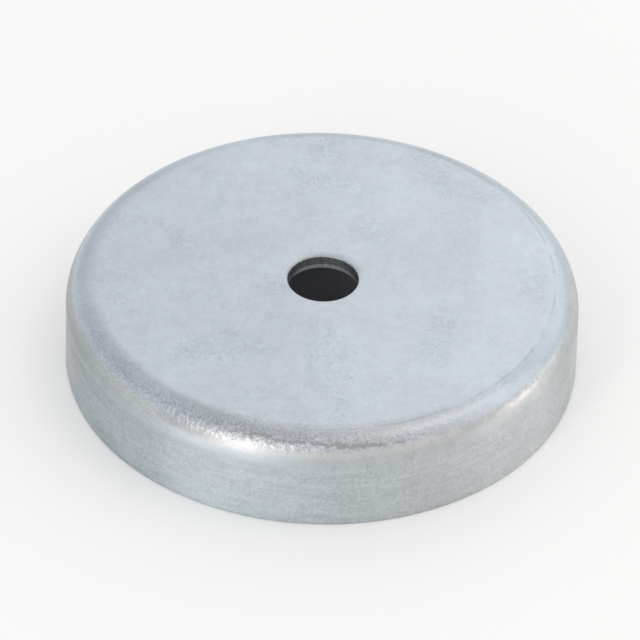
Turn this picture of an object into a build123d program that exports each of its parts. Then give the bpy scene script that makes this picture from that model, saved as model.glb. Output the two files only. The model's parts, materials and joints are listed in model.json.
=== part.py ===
"""Shallow pot magnet with a plain screw hole: a hard-ferrite ring bonded into a deep-drawn steel pot.

Row frame: millimetres, +Z up. The origin is the centre of the holding face, where the pot's rim
meets the steel that it clamps to. The closed back of the pot is at the top, at z = pot_height.
"""

import os

from build123d import *

# ---- Pot: one cup drawn from zinc-plated steel sheet -------------------------------------------
pot_diameter = 40.0  # outside, over the drawn wall
pot_height = 8.0  # holding face to back
sheet_thickness = 1.2  # floor and wall alike
punch_radius = 1.3  # inside corner, where the sheet bends over the drawing punch
rim_chamfer = 0.2  # edge break of the trimmed rim, inside and outside

# ---- Screw hole, punched through the floor from the back ----------------------------------------
screw_hole_diameter = 5.5  # clears an M5 screw
roll_over_radius = 0.1  # sheet drawn in by the punch as it enters
breakout_height = 0.4  # torn zone where the slug breaks away
breakout_flare = 0.06  # how much wider, on the radius, the torn zone ends

# ---- Magnet: one pressed, sintered and ground ferrite ring --------------------------------------
seat_clearance = 0.1  # from the ring's side to where the pot's flat floor turns into the bend
magnet_bore_diameter = 11.0  # takes the head of the screw
magnet_chamfer = 0.3  # all four edges of the ring
face_recess = 0.1  # magnet's face behind the rim, so that the rim touches first

# ---- Bond: adhesive between the ring's back and the pot's floor ---------------------------------
bond_line = 0.1  # thickness of the layer

# ---- Worked out from the sizes above ------------------------------------------------------------
pot_radius = pot_diameter / 2
pot_inner_radius = pot_radius - sheet_thickness
die_radius = punch_radius + sheet_thickness  # outside corner of the bend
floor_underside = pot_height - sheet_thickness
flat_floor_radius = pot_inner_radius - punch_radius  # where the flat floor turns into the bend
screw_hole_radius = screw_hole_diameter / 2

magnet_radius = flat_floor_radius - seat_clearance
magnet_flat_radius = magnet_radius - magnet_chamfer
magnet_bore_radius = magnet_bore_diameter / 2
magnet_back = floor_underside - bond_line
magnet_thickness = magnet_back - face_recess

bond_inner_radius = magnet_bore_radius + magnet_chamfer  # the layer stops at the ring's flat back

# ---- Steel pot ----------------------------------------------------------------------------------
# The half section is the sheet itself: its outer skin, then the same skin one thickness further in.
# Each point of a half section is a radius and a height above the holding face.
with BuildPart() as steel_pot:
    with BuildSketch(Plane.XZ):
        with BuildLine():
            outer_skin = FilletPolyline(
                (screw_hole_radius, pot_height),
                (pot_radius, pot_height),
                (pot_radius, 0),
                radius=die_radius,
            )
            inner_skin = FilletPolyline(
                (screw_hole_radius, floor_underside),
                (pot_inner_radius, floor_underside),
                (pot_inner_radius, 0),
                radius=punch_radius,
            )
            Line(outer_skin @ 0, inner_skin @ 0)
            Line(outer_skin @ 1, inner_skin @ 1)
        make_face()
    revolve(axis=Axis.Z)

    rim_edges = steel_pot.edges().filter_by(GeomType.CIRCLE).group_by(Axis.Z)[0]
    chamfer(rim_edges, length=rim_chamfer)

    back_edges = steel_pot.edges().filter_by(GeomType.CIRCLE).group_by(Axis.Z)[-1]
    punch_entry = back_edges.sort_by(SortBy.RADIUS)[0]
    fillet(punch_entry, radius=roll_over_radius)

    hole_wall = steel_pot.faces().filter_by(GeomType.CYLINDER).sort_by(SortBy.RADIUS)[0]
    punch_exit = hole_wall.edges().filter_by(GeomType.CIRCLE).sort_by(Axis.Z)[0]
    chamfer(punch_exit, length=breakout_height, length2=breakout_flare, reference=hole_wall)
steel_pot.part.label = "steel_pot"

# ---- Ring magnet --------------------------------------------------------------------------------
with BuildPart() as ring_magnet:
    with BuildSketch(Plane.XY.offset(face_recess)):
        Circle(magnet_radius)
        Circle(magnet_bore_radius, mode=Mode.SUBTRACT)
    extrude(amount=magnet_thickness)
    chamfer(ring_magnet.edges().filter_by(GeomType.CIRCLE), length=magnet_chamfer)
ring_magnet.part.label = "ring_magnet"

# ---- Adhesive ring ------------------------------------------------------------------------------
# A thin washer over the ring's flat back. At its outer edge the squeezed-out bead fills the wedge
# over the ring's chamfer and leans out to where the pot's floor begins to bend.
with BuildPart() as adhesive_ring:
    with BuildSketch(Plane.XZ):
        with BuildLine():
            Polyline(
                (bond_inner_radius, magnet_back),
                (magnet_flat_radius, magnet_back),
                (magnet_radius, magnet_back - magnet_chamfer),
                (flat_floor_radius, floor_underside),
                (bond_inner_radius, floor_underside),
                close=True,
            )
        make_face()
    revolve(axis=Axis.Z)
adhesive_ring.part.label = "adhesive_ring"

# ---- Write one STEP file for each piece ---------------------------------------------------------
os.makedirs("parts", exist_ok=True)
for piece in (steel_pot, ring_magnet, adhesive_ring):
    export_step(piece.part, f"parts/{piece.part.label}.step")
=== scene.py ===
# %% [markdown]
# # A shallow pot magnet
# The object is a round holding magnet. A flat cup of zinc-plated steel, the pot, holds a ring of
# hard ferrite, which is glued in. The pot carries the field round to its rim, and a screw through
# the hole in the middle fixes the magnet to whatever it serves. It rests here on its holding face,
# with the closed back of the pot upwards.
# Every piece is a body of revolution, so one small lathe made of Geometry Nodes turns all of them
# from their half sections. The work then goes into the finish: plating, ferrite and glue.

import json
from math import cos, pi, radians, sin
from types import SimpleNamespace

import bpy
from mathutils import Matrix, Vector


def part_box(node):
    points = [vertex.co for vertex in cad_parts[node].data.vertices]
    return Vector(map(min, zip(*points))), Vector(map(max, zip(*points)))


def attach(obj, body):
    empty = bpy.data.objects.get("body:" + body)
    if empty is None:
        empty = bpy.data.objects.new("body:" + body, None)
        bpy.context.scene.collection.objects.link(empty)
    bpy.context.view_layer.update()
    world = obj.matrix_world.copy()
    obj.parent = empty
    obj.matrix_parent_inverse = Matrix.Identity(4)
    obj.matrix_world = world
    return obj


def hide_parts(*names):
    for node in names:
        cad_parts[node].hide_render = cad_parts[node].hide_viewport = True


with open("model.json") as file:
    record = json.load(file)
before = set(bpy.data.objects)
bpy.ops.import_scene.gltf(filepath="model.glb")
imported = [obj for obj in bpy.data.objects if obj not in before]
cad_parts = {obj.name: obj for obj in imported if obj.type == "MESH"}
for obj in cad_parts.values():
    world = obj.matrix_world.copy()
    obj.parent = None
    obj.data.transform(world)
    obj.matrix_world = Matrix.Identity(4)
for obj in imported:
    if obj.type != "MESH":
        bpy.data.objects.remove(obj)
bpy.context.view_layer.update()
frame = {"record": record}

# %% [markdown]
# ## Sizes
# Blender works in metres here, and the drawing of a small turned part is easier to read in
# millimetres, so MM turns one into the other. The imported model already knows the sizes: the pieces'
# boxes and the two bores give every radius and height, and the rest is worked out from those.
# The flare of the torn zone and the break of the rim's edges don't show in a box, so they are given.

# %% Read the sizes from the frame
MM = 0.001

pot_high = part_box("steel_pot")[1]
ring_low, ring_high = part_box("ring_magnet")
bond_low, bond_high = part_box("adhesive_ring")
mounts = {mount["name"]: mount for mount in frame["record"]["mounts"]}

pot_radius, pot_height = pot_high[0], pot_high[2]
floor_underside = bond_high[2]
flat_radius = bond_high[0]
sheet = pot_height - floor_underside
pot_inner_radius = pot_radius - sheet
punch_radius = pot_inner_radius - flat_radius
die_radius = punch_radius + sheet

ring_radius, ring_face, ring_back = ring_high[0], ring_low[2], ring_high[2]
ring_bore_radius = mounts["head_recess"]["dims"]["r_mm"] * MM
ring_bore_length = mounts["head_recess"]["dims"]["length_mm"] * MM
ring_chamfer = (ring_back - ring_face - ring_bore_length) / 2
bond_bottom = bond_low[2]

hole_radius = mounts["screw_hole"]["dims"]["r_mm"] * MM
hole_wall_middle = mounts["screw_hole"]["pos_m"][2]
hole_wall_half = mounts["screw_hole"]["dims"]["length_mm"] * MM / 2
roll_over = pot_height - hole_wall_middle - hole_wall_half
torn_top = hole_wall_middle - hole_wall_half
torn_flare = 0.06 * MM
rim_break = 0.2 * MM
print(f"sheet {sheet / MM:.2f}, bend {die_radius / MM:.2f}, roll-over {roll_over / MM:.2f} mm")

# %% [markdown]
# ## A few helpers for node trees
# Node trees are easier to read in a script when adding a node, setting it and wiring it is one
# line. An input is given by name, with an underscore for a blank, and takes a value or a socket.

# %% Node helpers
def plug(tree, socket, value):
    """Puts a value into a socket, or links another node's socket to it."""
    if isinstance(value, bpy.types.NodeSocket):
        tree.links.new(value, socket)
    else:
        socket.default_value = value


def add(tree, kind, settings=None, **inputs):
    """Adds a node of that kind, sets it up and fills its named inputs."""
    node = tree.nodes.new(kind)
    for name, value in (settings or {}).items():
        setattr(node, name, value)
    for name, value in inputs.items():
        socket = next(s for s in node.inputs if s.enabled and s.name.replace(" ", "_") == name)
        plug(tree, socket, value)
    return node


def result(node, name=None):
    """A node's output by name, or the first one in use."""
    return next(s for s in node.outputs if s.enabled and name in (None, s.name))


def calc(tree, operation, *values):
    """One Math node, whose inputs share a name and so are filled by place."""
    node = add(tree, "ShaderNodeMath", {"operation": operation})
    for socket, value in zip(node.inputs, values):
        plug(tree, socket, value)
    return node.outputs[0]


def times(tree, *factors):
    """The product of all the factors."""
    product = factors[0]
    for factor in factors[1:]:
        product = calc(tree, "MULTIPLY", product, factor)
    return product


def ramp(tree, value, start, end, low=0.0, high=1.0):
    """A smooth step: low up to start, high from end on. Start may lie above end."""
    return result(add(
        tree, "ShaderNodeMapRange", {"interpolation_type": "SMOOTHSTEP"},
        Value=value, From_Min=start, From_Max=end, To_Min=low, To_Max=high,
    ))


def radius_and_height(tree, position):
    """The distance from the axis, and the height, of a position vector."""
    parts = add(tree, "ShaderNodeSeparateXYZ", Vector=position)
    x_part, y_part, height = (result(parts, name) for name in "XYZ")
    squares = calc(tree, "ADD", times(tree, x_part, x_part), times(tree, y_part, y_part))
    return calc(tree, "SQRT", squares), height


def scaled(tree, position, x_scale, y_scale, z_scale):
    """The position scaled along each axis; under 1 draws a pattern out along it."""
    node = add(tree, "ShaderNodeVectorMath", {"operation": "MULTIPLY"})
    plug(tree, node.inputs[0], position)
    node.inputs[1].default_value = (x_scale, y_scale, z_scale)
    return result(node)


def open_tree(name, kind, sockets, outputs):
    """A new node tree with its named inputs and outputs; returns it and its group input node."""
    tree = bpy.data.node_groups.new(name, kind)
    for label, (socket_kind, value) in sockets.items():
        socket = tree.interface.new_socket(label, in_out="INPUT", socket_type=socket_kind)
        if value is not None:
            socket.default_value = value
    for label, socket_kind in outputs.items():
        tree.interface.new_socket(label, in_out="OUTPUT", socket_type=socket_kind)
    return tree, tree.nodes.new("NodeGroupInput")


def close_tree(tree, **results):
    """Adds the group output and links each named result to it."""
    group_output = tree.nodes.new("NodeGroupOutput")
    for name, value in results.items():
        tree.links.new(value, group_output.inputs[name.replace("_", " ")])
    print(f"group {tree.name}: {len(tree.nodes)} nodes")


# %% [markdown]
# ## The lathe
# A drawn cup, a pressed ring and a bead of glue are all turned about one axis. A lathe in Geometry
# Nodes takes the sharp half section as a closed outline of a few corners, where each corner carries
# the radius that it is rounded to. The tree rounds the corners, cuts the long straight runs into
# steps, and sweeps the outline along a circle. Built this way, each size stays a number that can be
# changed, and the arcs get as many points as their size needs.
# The same tree roughens the surface a little. Drawn sheet stretches over the die, and its grains
# stand up as a fine orange peel on the bend. Where the punch tore the sheet, the wall of the hole is
# ragged. All of it is pushed inwards, so the piece never grows.

# %% Build the lathe
def build_lathe():
    """Half section in, finished ring-shaped mesh out."""
    number, whole = "NodeSocketFloat", "NodeSocketInt"
    tree, given = open_tree(
        "lathe", "GeometryNodeTree",
        {
            "Half Section": ("NodeSocketGeometry", None),
            "Pitch Radius": (number, 10 * MM),
            "Segments": (whole, 256),
            "Arc Step": (number, 0.1 * MM),
            "Longest Step": (number, 1 * MM),
            "Peel Depth": (number, 0.0),
            "Peel Scale": (number, 1.0),
            "Peel From Radius": (number, 0.0),
            "Peel Full Radius": (number, 0.0),
            "Tear Depth": (number, 0.0),
            "Tear Radius": (number, 0.0),
            "Tear Bottom": (number, 0.0),
            "Tear Top": (number, 0.0),
            "Material": ("NodeSocketMaterial", None),
        },
        {"Geometry": "NodeSocketGeometry"},
    )
    size = given.outputs

    corner = result(add(
        tree, "GeometryNodeInputNamedAttribute", {"data_type": "FLOAT"}, Name="corner_radius",
    ))
    arc_length = times(tree, corner, pi / 2)
    arc_points = calc(tree, "CEIL", calc(tree, "DIVIDE", arc_length, size["Arc Step"]))
    outline = result(add(tree, "GeometryNodeMeshToCurve", Mesh=size["Half Section"]))
    fewest_arc_points = 4.0
    rounded = result(add(
        tree, "GeometryNodeFilletCurve", {"mode": "POLY"}, Curve=outline, Radius=corner,
        Count=calc(tree, "MAXIMUM", arc_points, fewest_arc_points), Limit_Radius=True,
    ))

    position = result(add(tree, "GeometryNodeInputPosition"))
    next_point = result(add(tree, "GeometryNodeOffsetPointInCurve", Offset=1), "Point Index")
    ahead = add(
        tree, "GeometryNodeFieldAtIndex", {"data_type": "FLOAT_VECTOR"}, Value=position, Index=next_point,
    )
    run = add(tree, "ShaderNodeVectorMath", {"operation": "DISTANCE"})
    plug(tree, run.inputs[0], position)
    plug(tree, run.inputs[1], result(ahead))
    cuts = calc(tree, "FLOOR", calc(tree, "DIVIDE", result(run, "Value"), size["Longest Step"]))
    stepped = result(add(tree, "GeometryNodeSubdivideCurve", Curve=rounded, Cuts=cuts))

    path = add(
        tree, "GeometryNodeCurvePrimitiveCircle", Resolution=size["Segments"], Radius=size["Pitch Radius"],
    )
    upright = result(add(tree, "GeometryNodeSetCurveNormal", {"mode": "Z_UP"}, Curve=result(path)))
    turned = result(add(tree, "GeometryNodeCurveToMesh", Curve=upright, Profile_Curve=stepped))

    radius, height = radius_and_height(tree, position)
    noise = add(
        tree, "ShaderNodeTexNoise", {"noise_dimensions": "3D"},
        Vector=position, Scale=size["Peel Scale"], Detail=2.0, Roughness=0.5,
    )
    peel = ramp(tree, radius, size["Peel From Radius"], size["Peel Full Radius"])
    peel = times(tree, peel, result(noise, "Fac"), size["Peel Depth"])

    tear_grain, tear_fade, upright_draw = 0.2 * MM, 0.08 * MM, 0.25
    tear_noise = add(
        tree, "ShaderNodeTexNoise", {"noise_dimensions": "3D"},
        Vector=scaled(tree, position, 1.0, 1.0, upright_draw), Scale=1 / tear_grain, Detail=3.0, Roughness=0.6,
    )
    in_hole = calc(tree, "LESS_THAN", radius, size["Tear Radius"])
    below = ramp(tree, height, size["Tear Top"], calc(tree, "SUBTRACT", size["Tear Top"], tear_fade))
    above = calc(tree, "GREATER_THAN", height, size["Tear Bottom"])
    tear = times(tree, in_hole, below, above, result(tear_noise, "Fac"), size["Tear Depth"])

    inwards = add(tree, "ShaderNodeVectorMath", {"operation": "SCALE"})
    plug(tree, inwards.inputs[0], result(add(tree, "GeometryNodeInputNormal"), "Normal"))
    plug(tree, inwards.inputs["Scale"], times(tree, calc(tree, "ADD", peel, tear), -1.0))
    roughened = result(add(tree, "GeometryNodeSetPosition", Geometry=turned, Offset=result(inwards)))

    smooth = result(add(tree, "GeometryNodeSetShadeSmooth", Geometry=roughened, Shade_Smooth=True))
    real = result(add(tree, "GeometryNodeRealizeInstances", Geometry=smooth))
    finished = add(tree, "GeometryNodeSetMaterial", Geometry=real, Material=size["Material"])
    close_tree(tree, Geometry=result(finished))
    return tree


lathe = build_lathe()


# %% [markdown]
# ## Turning a piece
# The half section is drawn as a closed outline of corners, each with a radius, a height and the
# radius that rounds it off. It is a mesh of points and edges, measured outwards from the pitch
# circle that the lathe sweeps it along. After the lathe has run, its result is kept as a plain mesh.

# %% Turn a half section
def turn(name, material, corners, **settings):
    """Lathes the closed outline of (radius, height, rounding) corners and returns the finished piece."""
    pitch = sum(radius for radius, _, _ in corners) / len(corners)
    drawing = bpy.data.meshes.new(f"{name}_half_section")
    points = [(radius - pitch, -height, 0.0) for radius, height, _ in corners]
    sides = [(i, (i + 1) % len(points)) for i in range(len(points))]
    drawing.from_pydata(points, sides, [])
    rounding = drawing.attributes.new("corner_radius", "FLOAT", "POINT")
    for item, (_, _, corner_radius) in zip(rounding.data, corners):
        item.value = corner_radius

    draft = bpy.data.objects.new(f"{name}_draft", drawing)
    bpy.context.collection.objects.link(draft)
    modifier = draft.modifiers.new("lathe", "NODES")
    modifier.node_group = lathe
    sockets = {item.name: item.identifier for item in lathe.interface.items_tree if item.in_out == "INPUT"}
    for label, value in {"Pitch Radius": pitch, "Material": material, **settings}.items():
        modifier[sockets[label.replace("_", " ")]] = value

    turned = draft.evaluated_get(bpy.context.evaluated_depsgraph_get())
    mesh = bpy.data.meshes.new_from_object(turned)
    mesh.name = name
    bpy.data.objects.remove(draft)
    piece = bpy.data.objects.new(name, mesh)
    bpy.context.collection.objects.link(piece)
    print(f"{name}: {len(mesh.polygons)} quads, radius {max(v.co.x for v in mesh.vertices) / MM:.3f} mm")
    return piece


# %% [markdown]
# ## Camera
# A long lens from well back keeps the round shape calm, as in a catalogue picture. The camera looks
# down on the closed back at about forty degrees. It aims a little above the origin, so that the
# part sits in the middle of the frame with no lens shift, and it is turned by a degree and a half.

# %% Place the camera
camera_elevation = radians(39.83)
camera_distance = 588.2 * MM
lens_length, sensor_width = 421.8, 36.0
camera_roll = radians(1.56)
aim_right, aim_up = -0.148 * MM, 2.937 * MM

towards_camera = Vector((0.0, -cos(camera_elevation), sin(camera_elevation)))
frame_up = Vector((0.0, sin(camera_elevation), cos(camera_elevation)))
aim = Vector((aim_right, 0.0, 0.0)) + frame_up * aim_up
camera = bpy.data.objects.new("camera", bpy.data.cameras.new("camera"))
camera.location = towards_camera * camera_distance
looking = (aim - camera.location).to_track_quat("-Z", "Y").to_matrix().to_4x4()
camera.matrix_world = Matrix.Translation(camera.location) @ looking @ Matrix.Rotation(camera_roll, 4, "Z")
camera.data.lens, camera.data.sensor_width = lens_length, sensor_width
camera.data.clip_start, camera.data.clip_end = 0.01, 20.0
bpy.context.collection.objects.link(camera)
bpy.context.scene.camera = camera
print("camera at, m:", [round(v, 3) for v in camera.location])

# %% [markdown]
# ## Finishes
# Each finish is a Principled shader fed by small node groups. A group makes one effect, such as a
# mottle or a fleck, and hands out only a mask or a height, so the same group serves every material
# with its own sizes. All of them read Object coordinates, which on these pieces are metres from the
# centre of the holding face, so a pattern stays on the piece from every side.

# %% Helpers for effects
def open_effect(name, sockets, outputs):
    """A shader group whose first input is the object position, with float inputs after it."""
    inputs = {"Position": ("NodeSocketVector", None)}
    inputs.update({label: ("NodeSocketFloat", value) for label, value in sockets.items()})
    tree, given = open_tree(name, "ShaderNodeTree", inputs, {label: "NodeSocketFloat" for label in outputs})
    return tree, given.outputs


def noise_at(tree, position, size, detail=2.0, roughness=0.5, distortion=0.0):
    """Noise between 0 and 1 whose features are about that size in metres."""
    return result(add(
        tree, "ShaderNodeTexNoise", {"noise_dimensions": "3D"}, Vector=position,
        Scale=calc(tree, "DIVIDE", 1.0, size), Detail=detail, Roughness=roughness, Distortion=distortion,
    ), "Fac")


def centred(tree, noise):
    """Noise from 0 to 1 moved so that it swings about zero."""
    return calc(tree, "SUBTRACT", noise, 0.5)


# %% [markdown]
# ### Shared effects
# A mottle is noise of three sizes at once. Flecks are thin lines along which a noise crosses its
# middle value, which gives short curled marks like those of a bath that dried in place.

# %% Mottle and flecks
def build_mottle():
    """Broad soft patches, blotches and fine specks of tone, each centred on zero."""
    tree, size = open_effect(
        "mottle", {"Patch Size": 7 * MM, "Blotch Size": 1.4 * MM, "Speck Size": 0.25 * MM},
        ("Patches", "Blotches", "Specks"),
    )
    patches = noise_at(tree, size["Position"], size["Patch Size"], detail=3.0, distortion=0.6)
    blotches = noise_at(tree, size["Position"], size["Blotch Size"], detail=2.0, distortion=0.8)
    specks = noise_at(tree, size["Position"], size["Speck Size"], detail=3.0, roughness=0.65)
    close_tree(
        tree, Patches=centred(tree, patches), Blotches=centred(tree, blotches), Specks=centred(tree, specks),
    )
    return tree


def build_flecks():
    """Short curled marks: thin lines where a noise crosses its middle, kept in scattered clusters."""
    tree, size = open_effect("flecks", {"Length": 1 * MM, "Cluster Size": 4 * MM, "Amount": 0.5}, ("Mask",))
    crossing = noise_at(tree, size["Position"], size["Length"], detail=3.0, roughness=0.7, distortion=1.5)
    nearness = calc(tree, "ABSOLUTE", centred(tree, crossing))
    half_line, rarest, range_of_amount, soft_edge = 0.032, 0.75, 0.3, 0.1
    line = ramp(tree, nearness, half_line, 0.0)
    cluster = noise_at(tree, size["Position"], size["Cluster Size"], detail=2.0)
    threshold = calc(tree, "SUBTRACT", rarest, times(tree, size["Amount"], range_of_amount))
    kept = ramp(tree, cluster, threshold, calc(tree, "ADD", threshold, soft_edge))
    close_tree(tree, Mask=times(tree, line, kept))
    return tree


mottle, flecks = build_mottle(), build_flecks()

# %% [markdown]
# Wear on a turned piece lies at a radius or on a side. A band marks a ring round the axis, and the
# other mask marks the side that faces a bearing: 0 is the front, -Y, and 90 is the right, +X.

# %% Band and side
def build_band():
    """A soft ring at one radius, 1 on it and 0 beyond its width, broken up by noise."""
    tree, size = open_effect("band", {"Radius": 10 * MM, "Width": 1 * MM, "Break Size": 2 * MM}, ("Mask",))
    radius, _ = radius_and_height(tree, size["Position"])
    distance = calc(tree, "ABSOLUTE", calc(tree, "SUBTRACT", radius, size["Radius"]))
    worn = ramp(tree, noise_at(tree, size["Position"], size["Break Size"], detail=3.0), 0.38, 0.58)
    close_tree(tree, Mask=times(tree, ramp(tree, distance, size["Width"], 0.0), worn))
    return tree


def build_one_side():
    """1 on the side that faces the bearing, fading to 0 at the spread; both in degrees."""
    tree, size = open_effect("one side", {"Bearing": 0.0, "Spread": 60.0}, ("Mask",))
    parts = add(tree, "ShaderNodeSeparateXYZ", Vector=size["Position"])
    forwards = times(tree, result(parts, "Y"), -1.0)
    bearing = calc(tree, "DEGREES", calc(tree, "ARCTAN2", result(parts, "X"), forwards))
    turned = calc(tree, "WRAP", calc(tree, "SUBTRACT", bearing, size["Bearing"]), 180.0, -180.0)
    distance = calc(tree, "DIVIDE", calc(tree, "ABSOLUTE", turned), size["Spread"])
    close_tree(tree, Mask=ramp(tree, distance, 1.0, 0.3))
    return tree


band, one_side = build_band(), build_one_side()

# %% [markdown]
# Plated zinc, ground ferrite and set glue are all slightly pebbled, each at its own size. The grain
# gives a height, which each material hands to its own bump.

# %% Grain
def build_grain():
    """The height of a matt, slightly pebbled surface: crystal grains under a finer dust."""
    tree, size = open_effect("grain", {"Grain Size": 0.4 * MM}, ("Height",))
    pebbles = noise_at(tree, size["Position"], size["Grain Size"], detail=2.0, roughness=0.55)
    dust_share, dust_height = 0.3, 0.25
    dust = noise_at(tree, size["Position"], times(tree, size["Grain Size"], dust_share), detail=2.0)
    close_tree(tree, Height=calc(tree, "ADD", pebbles, times(tree, dust, dust_height)))
    return tree


grain = build_grain()


# %% [markdown]
# A few helpers keep the materials short. A sum of masks, each with a weight, gives how pale a point
# is, and a tone turns that share into a colour between a dark and a pale end.

# %% Helpers for materials
MIX_BELOW, MIX_ABOVE, MIX_COLOUR = 6, 7, 2  # the colour sockets of a Mix node, by place


def open_material(name):
    """An empty material with one Principled shader; returns its tree, shader and object position."""
    material = bpy.data.materials.new(name)
    material.use_nodes = True
    tree = material.node_tree
    shader = tree.nodes["Principled BSDF"]
    position = result(tree.nodes.new("ShaderNodeTexCoord"), "Object")
    return material, tree, shader, position


def effect(tree, group, position, **sizes):
    """Places a shared effect in a material with its own sizes."""
    return add(tree, "ShaderNodeGroup", {"node_tree": group}, Position=position, **sizes)


def blend(tree, share, below, above, clamped=True):
    """The colour below at share 0 and above at share 1; either may be a socket or a plain colour."""
    node = add(tree, "ShaderNodeMix", {"data_type": "RGBA", "clamp_factor": clamped})
    plug(tree, node.inputs["Factor"], share)
    for place, colour in ((MIX_BELOW, below), (MIX_ABOVE, above)):
        is_socket = isinstance(colour, bpy.types.NodeSocket)
        plug(tree, node.inputs[place], colour if is_socket else (*colour, 1.0))
    return node.outputs[MIX_COLOUR]


def tone(tree, dark, pale, paleness):
    """The colour between dark and pale; a little under 0 or over 1 goes past them."""
    return blend(tree, paleness, dark, pale, clamped=False)


def weighted(tree, *terms):
    """A sum of (value, weight) terms; a bare value is added as it is."""
    parts = [times(tree, *term) if isinstance(term, tuple) else term for term in terms]
    total = parts[0]
    for part in parts[1:]:
        total = calc(tree, "ADD", total, part)
    return total


def raise_surface(tree, height, depth, strength):
    """A bump of that depth in metres."""
    return result(add(tree, "ShaderNodeBump", Height=height, Distance=depth, Strength=strength))


# %% [markdown]
# ### Zinc plating
# The pot is plated with zinc and dipped in a thin blue-clear passivation. Up close that is a pale
# bluish grey metal, matt rather than bright, with broad soft clouds, a fine mottle from the crystal
# grains, and a few dark worm-like flecks where the bath dried. The plating is a metal, so it is
# fully metallic here, and its matt look comes from a middling roughness. Over the bend the sheet was
# strained, so its grain is coarser, and a darker lilac band there, most of it on one side, is partly
# dirt and partly a painted dark reflection. The wall was ironed by the die and shows fine level
# streaks. Inside the screw hole the punch has burnished the upper wall, the torn zone below it is
# paler, and the plating is thin and dark; the rear of that wall carries painted light, and the rim
# at the rear painted shade.
# The finish could be painted on a map, but masks worked out from the radius, the height and the
# bearing of a point follow the drawn shape exactly and need no map at all.

# %% Where the plating changes
def plating_zones(tree, position):
    """Masks for the parts of the drawn pot, from the radius and height of a point on it."""
    radius, height = radius_and_height(tree, position)
    along_x = result(add(tree, "ShaderNodeSeparateXYZ", Vector=position), "X")
    bend_start = pot_height - die_radius

    def down_the_bend(start, end, low=0.0, high=1.0):
        """A ramp between two depths below the back, each a share of the die's radius."""
        return ramp(tree, height, pot_height - start * die_radius, pot_height - end * die_radius, low, high)

    return SimpleNamespace(
        radius=radius,
        height=height,
        across=calc(tree, "DIVIDE", along_x, pot_radius),
        flat=ramp(tree, radius, flat_radius + 0.6 * MM, flat_radius + 0.1 * MM),
        bend=times(
            tree, ramp(tree, radius, flat_radius - 0.3 * MM, flat_radius + 0.7 * MM),
            ramp(tree, height, bend_start - 0.3 * MM, bend_start + 0.5 * MM),
        ),
        wall=times(
            tree, ramp(tree, radius, pot_inner_radius, pot_inner_radius + 0.2 * MM),
            ramp(tree, height, bend_start + 0.4 * MM, bend_start - 0.5 * MM),
        ),
        strained=times(tree, down_the_bend(0.60, 0.27), down_the_bend(0.03, 0.22, 0.35, 1.0)),
        top=down_the_bend(0.50, 0.20),
        lower=down_the_bend(0.50, 0.72),
        # Painted shade along the bottom edge of the wall, where it meets the floor.
        painted_shade_at_foot=ramp(tree, height, 0.30 * MM, 0.05 * MM),
        hole=calc(tree, "LESS_THAN", radius, hole_radius + torn_flare + 0.02 * MM),
        rim=ramp(tree, radius, hole_radius + 0.22 * MM, hole_radius + 0.12 * MM),
        torn=ramp(tree, height, torn_top + 0.10 * MM, torn_top - 0.06 * MM),
    )


def facing(tree, position, bearing, spread):
    """The side of the pot that faces the bearing, fading out at the spread; both in degrees."""
    return result(effect(tree, one_side, position, Bearing=bearing, Spread=spread))


def ring_line(tree, position, radius, width, break_size):
    """A thin broken line round the pot at one radius."""
    return result(effect(tree, band, position, Radius=radius, Width=width, Break_Size=break_size))


# %% [markdown]
# The patterns come in two kinds. Clouds, specks and dried-on marks cover the whole pot. The rest
# belongs to one place: coarse grains on the strained bend with a darker lilac band on it that is
# partly dirt and partly a painted dark reflection, a thin line where the flat ends with a painted
# highlight ring beside it, a painted dark reflection line at the front of the bend that drops a
# little towards the right, and painted shade, broken up by noise, along the upper edge of the
# lamps' streak on the right.

# %% Texture, worn places and painted light of the plating
def plating_texture(tree, position, zone):
    """The patterns that cover the whole pot, and the level streaks of its wall."""
    clouds = effect(tree, mottle, position, Patch_Size=8 * MM, Blotch_Size=0.9 * MM, Speck_Size=0.22 * MM)
    worms = result(effect(tree, flecks, position, Length=0.9 * MM, Cluster_Size=5 * MM, Amount=0.8))
    hairs = result(effect(tree, flecks, position, Length=0.4 * MM, Cluster_Size=2 * MM, Amount=0.85))
    drawn_out = noise_at(tree, scaled(tree, position, 0.10, 0.10, 1.0), 0.30 * MM, detail=3.0)
    streaky = weighted(tree, 0.5, (facing(tree, position, -30.0, 90.0), 0.5))
    return SimpleNamespace(
        patches=result(clouds, "Patches"),
        blotches=result(clouds, "Blotches"),
        specks=result(clouds, "Specks"),
        worms=worms,
        marks=times(tree, weighted(tree, (worms, 0.40), (hairs, 0.24)), weighted(tree, 1.0, (zone.wall, -0.6))),
        streaks=times(tree, centred(tree, drawn_out), zone.wall, streaky),
    )


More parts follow.
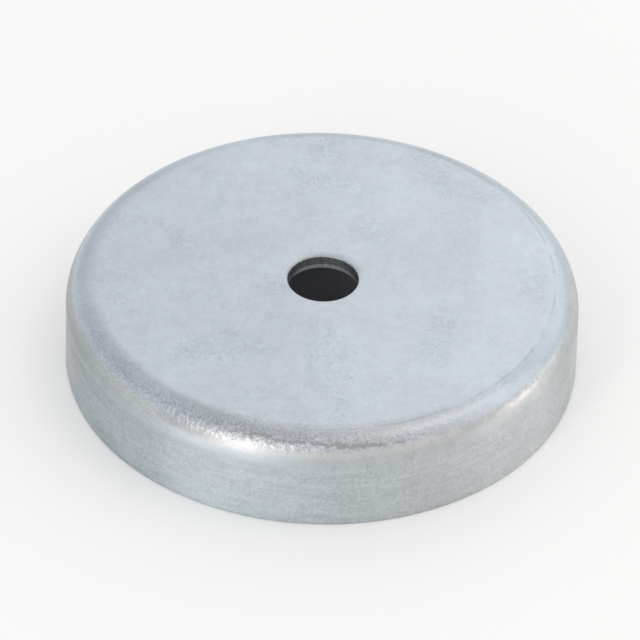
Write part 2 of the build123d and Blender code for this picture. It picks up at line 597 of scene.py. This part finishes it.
def bend_wear_and_painted_light(tree, position, zone, texture):
    """Masks for what drawing and handling left on the bend, and for the painted light, shade and dark reflection
    on it.
    """
    upper_bend = times(
        tree, ramp(tree, zone.radius, flat_radius - 0.1 * MM, flat_radius + 0.4 * MM),
        ramp(tree, zone.radius, pot_radius - 0.48 * MM, pot_radius - 1.08 * MM), zone.bend,
    )
    # A darker lilac band on the upper bend, at the front left and the rear left: partly dirt, partly painted
    # dark reflection.
    dirt_and_reflection_left = facing(tree, position, -22.0, 95.0)
    dirt_and_reflection_rear = times(tree, facing(tree, position, -112.0, 45.0), 0.7)
    grainy = times(tree, zone.bend, zone.strained, ramp(tree, texture.blotches, -0.20, 0.15, 0.5, 1.5))
    grainy_side = weighted(
        tree, (facing(tree, position, -25.0, 75.0), 1.0), (facing(tree, position, -18.0, 30.0), 0.9),
    )
    fold_radius, shine_radius = flat_radius + 0.58 * MM, flat_radius + 0.55 * MM
    dark_reflection_radius, streak_radius = pot_radius - 0.85 * MM, pot_radius - 0.45 * MM
    from_shine = calc(tree, "ABSOLUTE", calc(tree, "SUBTRACT", zone.radius, shine_radius))
    wobble = add(tree, "ShaderNodeVectorMath", {"operation": "SCALE"})
    plug(tree, wobble.inputs[0], position)
    plug(tree, wobble.inputs["Scale"], weighted(tree, 1.0, (texture.blotches, 0.05), (zone.across, -0.036)))
    return SimpleNamespace(
        upper_bend=upper_bend,
        dirt_and_dark_reflection=times(tree, upper_bend, calc(tree, "MAXIMUM", dirt_and_reflection_left, dirt_and_reflection_rear)),
        grainy=grainy,
        sparkling=times(tree, grainy, grainy_side),
        fold_line=times(
            tree, ring_line(tree, position, fold_radius, 0.20 * MM, 3 * MM), zone.top,
            weighted(tree, 0.3, (facing(tree, position, 75.0, 110.0), 0.7)),
        ),
        # Painted highlight: a paler ring just past the fold, at the front.
        painted_fold_highlight=times(
            tree, ramp(tree, from_shine, 0.40 * MM, 0.10 * MM), zone.top, facing(tree, position, 15.0, 52.0),
        ),
        # Painted dark reflection: a thin dark ring at the front of the bend, standing in for the dark gap
        # between the lamps that the bend mirrors; it wobbles and drops towards the right.
        painted_dark_reflection=times(
            tree, ring_line(tree, result(wobble), dark_reflection_radius, 0.18 * MM, 2 * MM), zone.bend,
            facing(tree, position, 6.0, 34.0),
        ),
        # Painted shade: a dark ring broken by noise along the upper edge of the lamps' streak on the right.
        painted_shade_on_streak=times(
            tree, ring_line(tree, position, streak_radius, 0.3 * MM, 0.5 * MM), zone.bend,
            facing(tree, position, 60.0, 30.0),
        ),
    )


# %% [markdown]
# All of it is gathered into one number, the paleness of a point. The back is a little paler towards
# the right, which is painted light. The wall and the lower bend carry painted highlights in two
# places, below the glint at the front left and on the right, and painted shade on the left.

# %% Paleness of the plating
def plating_paleness(tree, position, zone, texture, wear_and_painted_light):
    """How pale the zinc is: 0 is the dark end of its tones and 1 the pale end."""
    middle, darkest, palest = 0.58, -0.2, 1.5
    # Painted shade: the left side of the wall and of the lower bend is darker.
    left = facing(tree, position, -90.0, 55.0)
    # Painted highlights on the wall and the lower bend: below the glint at the front left, and weaker on the
    # right.
    painted_highlight_right = times(tree, facing(tree, position, 50.0, 22.0), 0.65)
    painted_highlight = calc(tree, "MAXIMUM", facing(tree, position, -22.0, 22.0), painted_highlight_right)
    speck_strength = weighted(tree, 0.62, (wear_and_painted_light.grainy, 0.2), (wear_and_painted_light.sparkling, 1.2), (zone.wall, 0.9))
    # Painted shade on the upper wall at the left.
    shaded_upper_left_wall = times(
        tree, facing(tree, position, -60.0, 38.0), zone.wall, ramp(tree, zone.height, 3 * MM, 5 * MM),
    )
    # Painted shade on the lower bend at the left.
    shaded_left_bend = times(
        tree, zone.bend, ramp(tree, zone.radius, pot_radius - 0.7 * MM, pot_radius - 0.3 * MM),
        facing(tree, position, -90.0, 48.0),
    )
    # The lower bend: a little darker, with the painted highlights and the painted shade on the left.
    lower_bend = times(tree, zone.bend, zone.lower, weighted(tree, -0.22, (painted_highlight, 0.9), (left, -0.1)))
    # Painted shade on the back beside the screw hole, at its rear right.
    painted_shade_by_hole = times(
        tree, ramp(tree, zone.radius, hole_radius + 0.9 * MM, hole_radius), facing(tree, position, 150.0, 75.0),
    )
    paleness = weighted(
        tree, middle, (texture.patches, 0.7), (texture.blotches, 0.42), (texture.specks, speck_strength),
        # Painted light: the back is paler towards the right.
        (texture.marks, -1.0), (zone.across, zone.flat, 0.22), (painted_shade_by_hole, -0.55),
        (wear_and_painted_light.fold_line, -0.4), (wear_and_painted_light.painted_fold_highlight, 0.3), (wear_and_painted_light.painted_dark_reflection, -0.5), (wear_and_painted_light.painted_shade_on_streak, -0.4),
        (wear_and_painted_light.dirt_and_dark_reflection, calc(tree, "ADD", texture.blotches, 0.8), -0.30),
        (wear_and_painted_light.upper_bend, facing(tree, position, 60.0, 28.0), 0.15), lower_bend, (shaded_left_bend, -0.5),
        (texture.streaks, 0.8), (painted_highlight, zone.wall, 0.42), (left, zone.wall, -0.25),
        (shaded_upper_left_wall, -0.27), (zone.painted_shade_at_foot, -0.4),
    )
    return calc(tree, "MAXIMUM", calc(tree, "MINIMUM", paleness, palest), darkest)


# %% [markdown]
# The colour follows the same places. The back is bluest and the wall nearly grey, a little green on
# the left of it: partly the passivation and partly a painted reflection, blue where the back mirrors
# what stands behind and neutral where the wall mirrors the floor. The lilac band on the bend, partly
# dirt and partly a painted dark reflection, is dusty at the front, and the painted dark reflection
# line is brownish. In the screw hole the burnished and the torn zone have tones of their own.

# %% Colours of the plating
ZINC_TONES = {  # for each tone, its dark and its pale end
    "blue": ((0.412, 0.468, 0.527), (0.646, 0.720, 0.802)),
    "grey": ((0.393, 0.415, 0.422), (0.628, 0.655, 0.664)),
    "teal": ((0.383, 0.425, 0.447), (0.612, 0.671, 0.703)),
    "lilac": ((0.375, 0.400, 0.464), (0.609, 0.655, 0.738)),
    "dusty": ((0.378, 0.398, 0.418), (0.655, 0.690, 0.728)),
    "burnished": ((0.250, 0.275, 0.290), (0.540, 0.575, 0.600)),
    "torn": ((0.520, 0.550, 0.570), (0.850, 0.880, 0.900)),
}
# The brownish colour of the painted dark reflection at the front of the bend.
DARK_REFLECTION_COLOUR = (0.375, 0.360, 0.385)


def plating_colour(tree, position, zone, wear_and_painted_light, paleness):
    """The colour of the back, the bend and the wall."""
    def zinc(name):
        return tone(tree, *ZINC_TONES[name], paleness)

    front = facing(tree, position, 0.0, 50.0)
    # Blue on the back and grey lower down: partly the passivation, partly painted reflection.
    colour = blend(tree, zone.top, zinc("grey"), zinc("blue"))
    colour = blend(tree, times(tree, zone.lower, facing(tree, position, -35.0, 70.0)), colour, zinc("teal"))
    colour = blend(tree, times(tree, wear_and_painted_light.dirt_and_dark_reflection, weighted(tree, 0.75, (front, -0.75))), colour, zinc("lilac"))
    colour = blend(tree, times(tree, zone.bend, zone.top, front, 0.8), colour, zinc("dusty"))
    return blend(tree, times(tree, wear_and_painted_light.painted_dark_reflection, 0.7), colour, DARK_REFLECTION_COLOUR)


def hole_wall_colour(tree, position, zone, texture):
    """The wall of the screw hole: burnished above, torn and paler below, scored by the punch; painted light
    makes the rear of it paler.
    """
    scored = centred(tree, noise_at(tree, scaled(tree, position, 1.0, 1.0, 0.12), 0.16 * MM))
    # Painted light: the rear of the hole's wall is paler and more torn, its sides darker.
    rear = facing(tree, position, 180.0, 80.0)
    burnished_paleness = weighted(tree, 0.34, (rear, 0.26), (texture.specks, 1.2), (scored, 2.0))
    torn_paleness = weighted(tree, 0.5, (texture.specks, 2.0), (scored, 1.5))
    return blend(
        tree, times(tree, zone.torn, weighted(tree, 0.3, (rear, 0.7), (scored, 0.8))),
        tone(tree, *ZINC_TONES["burnished"], burnished_paleness), tone(tree, *ZINC_TONES["torn"], torn_paleness),
    )


# %% Zinc-plated steel
def zinc_plated_steel():
    """Blue-passivated zinc on drawn steel."""
    material, tree, shader, position = open_material("zinc_plated_steel")
    zone = plating_zones(tree, position)
    texture = plating_texture(tree, position, zone)
    wear_and_painted_light = bend_wear_and_painted_light(tree, position, zone, texture)
    paleness = plating_paleness(tree, position, zone, texture, wear_and_painted_light)

    # The rim at the rear of the hole takes the hole's dark colour as painted shade.
    in_hole = calc(tree, "MAXIMUM", zone.hole, times(tree, zone.rim, facing(tree, position, 180.0, 110.0)))
    plug(tree, shader.inputs["Base Color"], blend(
        tree, in_hole, plating_colour(tree, position, zone, wear_and_painted_light, paleness),
        hole_wall_colour(tree, position, zone, texture),
    ))
    shader.inputs["Metallic"].default_value = 1.0
    plug(tree, shader.inputs["Roughness"], weighted(
        tree, 0.35, (texture.patches, 0.15), (texture.specks, 0.15), (texture.worms, 0.10),
        (zone.hole, 0.08), (zone.wall, 0.16),
    ))

    pebbles = result(effect(tree, grain, position, Grain_Size=0.30 * MM))
    dust = noise_at(tree, position, 0.14 * MM, detail=2.0)
    pebble_height = weighted(tree, 0.08, (wear_and_painted_light.grainy, 0.5), wear_and_painted_light.sparkling)
    surface = weighted(tree, (pebbles, pebble_height), (dust, 0.06), (texture.streaks, 0.25))
    plug(tree, shader.inputs["Normal"], raise_surface(tree, surface, depth=0.02 * MM, strength=0.8))
    print(f"finish {material.name}: {len(tree.nodes)} nodes")
    return material


zinc = zinc_plated_steel()

# %% [markdown]
# ### Ferrite and adhesive
# Hard ferrite is a ceramic, pressed and sintered, nearly black with a faint sparkle of crystals.
# Its faces are ground flat, which leaves fine straight marks, and its bore keeps the paler skin of
# the pressing die, made paler still by painted light so that the bore shows in the screw hole. The
# adhesive is a dark two-part epoxy with a little gloss. Both are seen from below, through the gap
# and in the screw hole.

# %% Ferrite
def hard_ferrite():
    """Sintered ceramic magnet, ground on its faces."""
    material, tree, shader, position = open_material("hard_ferrite")
    clouds = effect(tree, mottle, position, Patch_Size=4 * MM, Speck_Size=0.12 * MM)
    ground = noise_at(tree, scaled(tree, position, 0.05, 1.0, 0.05), 0.12 * MM, detail=3.0)
    paleness = weighted(
        tree, 0.05, (result(clouds, "Patches"), 0.8), (result(clouds, "Specks"), 1.2), (ground, 0.8),
    )
    radius, _ = radius_and_height(tree, position)
    in_bore = calc(tree, "LESS_THAN", radius, ring_bore_radius + 0.1 * MM)
    ground_face = tone(tree, (0.065, 0.065, 0.070), (0.130, 0.130, 0.138), paleness)
    # The bore: partly the paler pressed skin, partly painted light.
    bore_skin_and_painted_light = tone(tree, (0.132, 0.138, 0.156), (0.225, 0.232, 0.256), paleness)
    plug(tree, shader.inputs["Base Color"], blend(tree, in_bore, ground_face, bore_skin_and_painted_light))
    plug(tree, shader.inputs["Roughness"], weighted(tree, 0.48, (result(clouds, "Specks"), 0.25)))
    pits = result(effect(tree, grain, position, Grain_Size=0.15 * MM))
    surface = weighted(tree, (ground, 0.5), (pits, 0.5))
    plug(tree, shader.inputs["Normal"], raise_surface(tree, surface, depth=0.012 * MM, strength=0.6))
    print(f"finish {material.name}: {len(tree.nodes)} nodes")
    return material


ferrite = hard_ferrite()


# %% Adhesive
def cured_epoxy():
    """Dark two-part adhesive, squeezed out and set."""
    material, tree, shader, position = open_material("cured_epoxy")
    clouds = effect(tree, mottle, position, Patch_Size=2 * MM, Speck_Size=0.3 * MM)
    paleness = weighted(tree, 0.5, (result(clouds, "Patches"), 1.0))
    resin = tone(tree, (0.045, 0.040, 0.034), (0.085, 0.075, 0.062), paleness)
    plug(tree, shader.inputs["Base Color"], resin)
    plug(tree, shader.inputs["Roughness"], weighted(tree, 0.30, (result(clouds, "Specks"), 0.2)))
    ripples = result(effect(tree, grain, position, Grain_Size=0.8 * MM))
    plug(tree, shader.inputs["Normal"], raise_surface(tree, ripples, depth=0.05 * MM, strength=0.5))
    print(f"finish {material.name}: {len(tree.nodes)} nodes")
    return material


epoxy = cured_epoxy()

# %% [markdown]
# ## The pieces
# The pot is the main piece: a sheet bent over the die, with a rolled-over edge where the punch went
# in at the screw hole, a torn zone where the slug broke out, and a trimmed rim with its edges
# broken. The lathe turns it from seven corners, finely enough that the outline stays round.

# %% Turn the pot
exit_rounding, tear_rounding = 0.03 * MM, 0.1 * MM
peel_depth, peel_per_metre = 0.012 * MM, 1.1 / MM
tear_depth, tear_clearance = 0.05 * MM, 0.05 * MM

pot = turn(
    "drawn_pot", zinc,
    (
        (hole_radius, pot_height, roll_over),
        (pot_radius, pot_height, die_radius),
        (pot_radius, 0.0, rim_break),
        (pot_inner_radius, 0.0, rim_break),
        (pot_inner_radius, floor_underside, punch_radius),
        (hole_radius + torn_flare, floor_underside, exit_rounding),
        (hole_radius, torn_top, tear_rounding),
    ),
    Segments=600, Arc_Step=0.12 * MM, Longest_Step=0.5 * MM,
    Peel_Depth=peel_depth, Peel_Scale=peel_per_metre,
    Peel_From_Radius=flat_radius - 0.3 * MM, Peel_Full_Radius=flat_radius + 1.0 * MM,
    Tear_Depth=tear_depth, Tear_Radius=hole_radius + 2 * torn_flare,
    Tear_Bottom=floor_underside + tear_clearance, Tear_Top=torn_top,
)
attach(pot, "root")
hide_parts("steel_pot")

# %% [markdown]
# The ring magnet is pressed with a chamfer on all four edges. Sintered ferrite chips easily, so the
# chamfers' own edges are a little soft. The adhesive is a thin washer whose outer edge was squeezed
# out over the ring's chamfer.

# %% Turn the ring magnet and the adhesive
edge_softness = 0.04 * MM
chip_depth, chips_per_metre = 0.02 * MM, 0.8 / MM


def chamfered(inner, outer, low, high, cut):
    """The eight corners of a ring's half section with every edge cut at 45 degrees."""
    return [
        (radius, height, edge_softness)
        for radius, height in (
            (inner, high - cut), (inner + cut, high), (outer - cut, high), (outer, high - cut),
            (outer, low + cut), (outer - cut, low), (inner + cut, low), (inner, low + cut),
        )
    ]


ring = turn(
    "ferrite_ring", ferrite,
    chamfered(ring_bore_radius, ring_radius, ring_face, ring_back, ring_chamfer),
    Segments=512, Arc_Step=0.02 * MM, Longest_Step=0.4 * MM,
    Peel_Depth=chip_depth, Peel_Scale=chips_per_metre,
    Peel_From_Radius=ring_radius - 2 * ring_chamfer, Peel_Full_Radius=ring_radius - ring_chamfer,
)
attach(ring, "root")
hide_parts("ring_magnet")

bond = turn(
    "adhesive_bead", epoxy,
    (
        (ring_bore_radius + ring_chamfer, floor_underside, 0.0),
        (flat_radius, floor_underside, 0.0),
        (ring_radius, bond_bottom, 0.0),
        (ring_radius - ring_chamfer, ring_back, 0.0),
        (ring_bore_radius + ring_chamfer, ring_back, 0.0),
    ),
    Segments=256, Longest_Step=0.5 * MM,
)
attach(bond, "root")
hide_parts("adhesive_ring")

# %% [markdown]
# ## Floor
# The floor is a plain white sheet. It takes the part's soft shadow from the lamps. To stay near
# white without more light on the part, it adds a little glow of its own, but only for what the
# camera sees directly and for what the metal mirrors. The Light Path node tells those rays apart.

# %% Floor
floor_size = 3.0
floor_glow = 0.14
floor_mesh = bpy.data.meshes.new("floor")
floor_corners = [(x * floor_size, y * floor_size, 0.0) for x, y in ((-1, -1), (1, -1), (1, 1), (-1, 1))]
floor_mesh.from_pydata(floor_corners, [], [(0, 1, 2, 3)])
floor = bpy.data.objects.new("floor", floor_mesh)
bpy.context.collection.objects.link(floor)
white_floor, floor_tree, floor_shader, _ = open_material("white_floor")
floor_shader.inputs["Base Color"].default_value = (0.838, 0.85, 0.857, 1.0)
floor_shader.inputs["Roughness"].default_value = 1.0
floor_shader.inputs["Specular IOR Level"].default_value = 0.0
floor_shader.inputs["Emission Color"].default_value = (1.0, 1.0, 1.0, 1.0)
rays = add(floor_tree, "ShaderNodeLightPath")
seen = calc(floor_tree, "MAXIMUM", result(rays, "Is Camera Ray"), result(rays, "Is Glossy Ray"))
plug(floor_tree, floor_shader.inputs["Emission Strength"], times(floor_tree, seen, floor_glow))
floor_mesh.materials.append(white_floor)
print(f"floor {2 * floor_size:.0f} m wide, glow {floor_glow}")

# %% [markdown]
# ## Light
# A matt metal shows what stands round it, so the part stands in a white tent of even strength with
# soft panels in it. The flat back mirrors the wide panel behind. A narrow panel at the front left
# makes the glint on the bend, and the low panels at the right make the streak on that side.

# %% Lights
panel_distance = 0.5
tent_strength = 0.79


def panel(name, azimuth, elevation, width, height, power, colour):
    """A soft panel that faces the part; azimuth 0 is the camera's side and 90 the right."""
    turn_angle, tilt_angle = radians(azimuth), radians(elevation)
    level = cos(tilt_angle)
    outwards = Vector((sin(turn_angle) * level, -cos(turn_angle) * level, sin(tilt_angle)))
    light = bpy.data.lights.new(name, "AREA")
    light.shape = "RECTANGLE"
    light.size, light.size_y = width, height
    light.energy, light.color = power, colour
    lamp = bpy.data.objects.new(name, light)
    facing_part = (-outwards).to_track_quat("-Z", "Y").to_matrix().to_4x4()
    lamp.matrix_world = Matrix.Translation(outwards * panel_distance) @ facing_part
    bpy.context.collection.objects.link(lamp)


# name, azimuth and elevation in degrees, width and height in metres, power in watts, colour
PANELS = (
    ("rear_panel", 180, 38, 0.45, 0.36, 0.144, (1.0, 0.86, 0.78)),
    ("right_rear_panel", 145, 25, 0.30, 0.25, 0.089, (1.0, 0.99, 0.90)),
    ("right_panel", 90, 35, 0.30, 0.25, 0.101, (1.0, 0.94, 0.84)),
    ("right_top_panel", 90, 65, 0.25, 0.25, 0.165, (1.0, 0.89, 0.80)),
    ("glint_panel", -33, 24, 0.10, 0.34, 0.345, (1.0, 0.905, 0.84)),
    ("left_low_panel", -20, 12, 0.10, 0.06, 0.039, (0.80, 0.83, 1.0)),
    ("right_streak_panel", 88, 4, 0.12, 0.10, 0.140, (1.0, 0.84, 0.81)),
    ("right_low_panel", 108, 6, 0.12, 0.08, 0.061, (1.0, 0.99, 0.92)),
    ("front_panel", 0, 15, 0.24, 0.14, 0.044, (1.0, 0.73, 0.65)),
    ("front_right_panel", 45, 18, 0.20, 0.12, 0.049, (1.0, 0.67, 0.64)),
)
for settings in PANELS:
    panel(*settings)

surroundings = bpy.data.worlds.new("surroundings")
surroundings.use_nodes = True
bpy.context.scene.world = surroundings
tent = surroundings.node_tree.nodes["Background"]
tent.inputs["Color"].default_value = (1.0, 1.0, 1.0, 1.0)
tent.inputs["Strength"].default_value = tent_strength
bpy.context.scene.view_settings.view_transform = "Standard"
print(f"{len(PANELS)} panels round the part, tent strength {tent_strength}")
